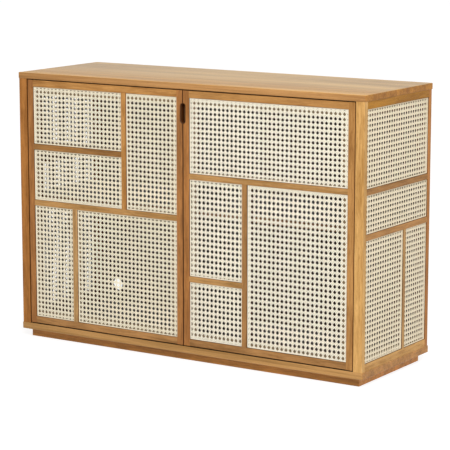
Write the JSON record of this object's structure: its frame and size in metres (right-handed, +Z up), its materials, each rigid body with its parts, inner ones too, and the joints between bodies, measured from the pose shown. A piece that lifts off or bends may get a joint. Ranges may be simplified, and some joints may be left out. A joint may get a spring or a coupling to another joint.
{
  "type": "sideboard",
  "caption": "Low sideboard cabinet in oak with hinged inset doors and side frames filled by woven cane panels in an irregular grid, inner shelves, a cable hole and a recessed plinth.",
  "frame": {"origin": "on the floor under the middle of the carcass", "axes": "+X to the right along the front, +Y from the front to the back, +Z up"},
  "size_m": [1.2, 0.4, 0.82],
  "materials": {
    "oak": "satin oiled",
    "inner_oak": "satin oiled",
    "back_board": "matt stained",
    "cane": "natural woven cane",
    "steel": "brushed",
    "brass": "turned",
    "catch_plastic": "moulded matt"
  },
  "bodies": {
    "carcass": {"back_panel": "back_board", "bottom_panel": "oak", "centre_divider": "inner_oak", "door_catches": "catch_plastic", "left_side_bottom_rail": "oak", "left_side_cane_low_front": "cane", "left_side_cane_low_rear": "cane", "left_side_cane_middle": "cane", "left_side_cane_top": "cane", "left_side_front_stile": "oak", "left_side_middle_rail": "oak", "left_side_mullion": "oak", "left_side_rear_stile": "oak", "left_side_top_rail": "oak", "left_side_upper_rail": "oak", "pivot_pins": "steel", "plinth_boards": "oak", "right_side_bottom_rail": "oak", "right_side_cane_low_front": "cane", "right_side_cane_low_rear": "cane", "right_side_cane_middle": "cane", "right_side_cane_top": "cane", "right_side_front_stile": "oak", "right_side_middle_rail": "oak", "right_side_mullion": "oak", "right_side_rear_stile": "oak", "right_side_top_rail": "oak", "right_side_upper_rail": "oak", "shelf_left": "inner_oak", "shelf_pins": "steel", "shelf_right": "inner_oak", "top_panel": "oak"},
    "left_door": {"left_door_bottom_rail": "oak", "left_door_bushes": "brass", "left_door_cane_low_left": "cane", "left_door_cane_low_right": "cane", "left_door_cane_mid_left": "cane", "left_door_cane_top_left": "cane", "left_door_cane_top_right": "cane", "left_door_hinge_stile": "oak", "left_door_lower_mullion": "oak", "left_door_meeting_stile": "oak", "left_door_middle_rail": "oak", "left_door_strike_plate": "steel", "left_door_top_rail": "oak", "left_door_upper_mullion": "oak", "left_door_upper_rail": "oak"},
    "right_door": {"right_door_bottom_rail": "oak", "right_door_bushes": "brass", "right_door_cane_low_left": "cane", "right_door_cane_low_right": "cane", "right_door_cane_mid_left": "cane", "right_door_cane_top": "cane", "right_door_hinge_stile": "oak", "right_door_lower_rail": "oak", "right_door_meeting_stile": "oak", "right_door_mullion": "oak", "right_door_strike_plate": "steel", "right_door_top_rail": "oak", "right_door_upper_rail": "oak"}
  },
  "joints": [
    {"name": "left_door_swing", "type": "hinge", "parent": "carcass", "child": "left_door", "pos_m": [-0.546, -0.188, 0.4235], "axis": [0, 0, -1], "range_deg": [0, 110]},
    {"name": "right_door_swing", "type": "hinge", "parent": "carcass", "child": "right_door", "pos_m": [0.546, -0.188, 0.4235], "axis": [0, 0, 1], "range_deg": [0, 110]}
  ]
}
